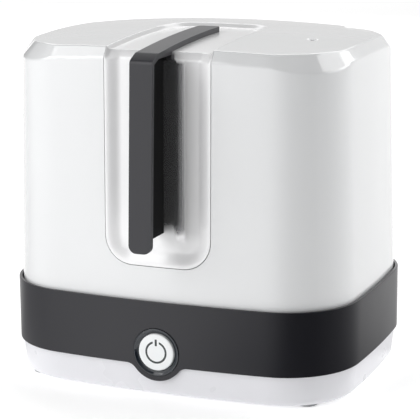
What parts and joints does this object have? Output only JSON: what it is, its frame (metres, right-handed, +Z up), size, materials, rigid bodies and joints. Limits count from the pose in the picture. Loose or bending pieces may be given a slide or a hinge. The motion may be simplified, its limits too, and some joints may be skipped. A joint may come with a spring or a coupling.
{
  "type": "baby bottle sterilizer",
  "caption": "Electric steam sterilizer for baby bottles: white lift-off hood with a dark handle, dark collar band with a round power button, lift-out rack and tray over a heated well.",
  "frame": {"origin": "on the floor under the middle of the part's bounding box, handle included", "axes": "+Z up, front with the power button towards -Y, +X to the right as seen from the front"},
  "size_m": [0.307, 0.2624, 0.2919],
  "materials": {
    "white_hood": "high gloss white polypropylene",
    "white_base": "semi-gloss white polypropylene",
    "white_button": "satin white",
    "dark_band": "satin charcoal",
    "dark_handle": "satin charcoal, fine texture",
    "dark_gloss_ring": "smoked gloss, lets the lamps through",
    "symbol_ink": "dark grey inlay",
    "light_inner": "natural white",
    "grey_rack": "light grey",
    "stainless": "brushed",
    "zinc_steel": "zinc plated",
    "element_sheath": "drawn tube",
    "terminal_steel": "nickel plated",
    "thermostat_case": "black phenolic",
    "fuse_sleeve": "woven glass sleeve",
    "lead_insulation": "silicone insulation",
    "block_nylon": "natural nylon",
    "gland_rubber": "black rubber",
    "seal_rubber": "red silicone",
    "foot_rubber": "grey elastomer",
    "circuit_board": "green solder mask",
    "relay_case": "blue moulded case",
    "switch_case": "black",
    "lamp_lens": "clear blue lens",
    "clear_stem": "milky"
  },
  "bodies": {
    "base": {"base_shell": "white_base", "collar_band": "dark_band", "upper_deck": "light_inner", "heater_plate": "stainless", "plate_seal": "seal_rubber", "plate_clamp": "zinc_steel", "clamp_screws": "zinc_steel", "heating_element": "element_sheath", "element_terminals": "terminal_steel", "thermostat": "thermostat_case", "thermostat_bracket": "zinc_steel", "thermal_fuse": "fuse_sleeve", "heater_leads": "lead_insulation", "terminal_block": "block_nylon", "cord_gland": "gland_rubber", "control_board": "circuit_board", "board_screws": "zinc_steel", "tact_switch": "switch_case", "status_leds": "lamp_lens", "relay": "relay_case", "button_bezel": "dark_gloss_ring", "bottom_cover": "white_base", "cover_screws": "zinc_steel", "deck_screws": "zinc_steel", "rubber_feet": "foot_rubber"},
    "lid": {"hood_shell": "white_hood", "handle_panel": "white_hood", "handle_grip": "dark_handle", "handle_screws": "stainless"},
    "basket": {"lower_basket": "grey_rack", "bottle_divider": "grey_rack", "tray_posts": "grey_rack"},
    "tray": {"upper_tray": "light_inner"},
    "button": {"button_cap": "white_button", "button_symbol": "symbol_ink", "button_stem": "clear_stem", "switch_plunger": "switch_case"}
  },
  "joints": [
    {"name": "lid_lift", "type": "slide", "parent": "base", "child": "lid", "axis": [0, 0, 1], "range_m": [0, 0.43]},
    {"name": "basket_lift", "type": "slide", "parent": "base", "child": "basket", "axis": [0, 0, 1], "range_m": [0, 0.09]},
    {"name": "tray_lift", "type": "slide", "parent": "basket", "child": "tray", "axis": [0, 0, 1], "range_m": [0, 0.13]},
    {"name": "button_press", "type": "slide", "parent": "base", "child": "button", "axis": [0, 1, 0], "range_m": [0, 0.0012], "stiffness_N_per_m": 2000}
  ],
  "couplings": [
    {"joint": "basket_lift", "follows": "lid_lift", "ratio": 0.2},
    {"joint": "tray_lift", "follows": "lid_lift", "ratio": 0.3}
  ]
}
